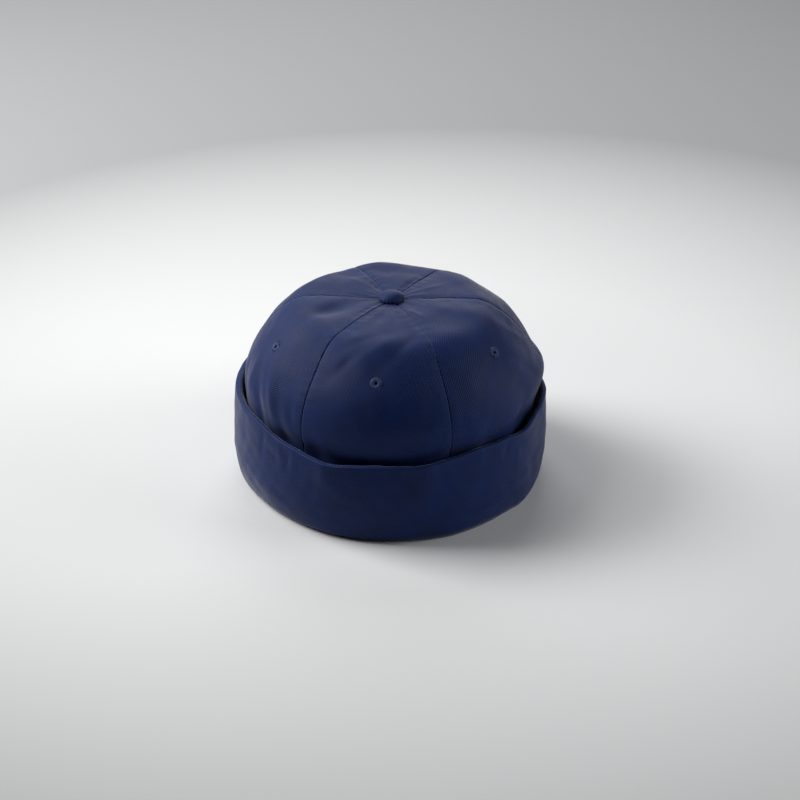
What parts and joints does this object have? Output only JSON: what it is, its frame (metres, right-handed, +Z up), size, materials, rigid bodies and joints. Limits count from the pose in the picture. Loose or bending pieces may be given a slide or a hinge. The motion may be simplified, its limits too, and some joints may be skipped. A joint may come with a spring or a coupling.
{
  "type": "docker cap",
  "caption": "Brimless docker cap of navy cotton twill: round panelled crown with a covered top button, embroidered vent eyelets and a deep turned-up cuff that it stands on.",
  "frame": {"origin": "middle of the cap on the surface that it stands on", "axes": "+Z up through the top button, -Y to the front panel"},
  "size_m": [0.2026, 0.2004, 0.1237],
  "materials": {
    "navy_twill": "matte cotton twill",
    "navy_thread": "soft-sheen sewing thread"
  },
  "bodies": {
    "root": {"cuff": "navy_twill", "button": "navy_twill", "crown_panel_front": "navy_twill", "crown_panel_front_right": "navy_twill", "crown_panel_back_right": "navy_twill", "crown_panel_back": "navy_twill", "crown_panel_back_left": "navy_twill", "crown_panel_front_left": "navy_twill", "eyelet_front": "navy_thread", "eyelet_front_right": "navy_thread", "eyelet_back_right": "navy_thread", "eyelet_back": "navy_thread", "eyelet_back_left": "navy_thread", "eyelet_front_left": "navy_thread"}
  },
  "joints": []
}
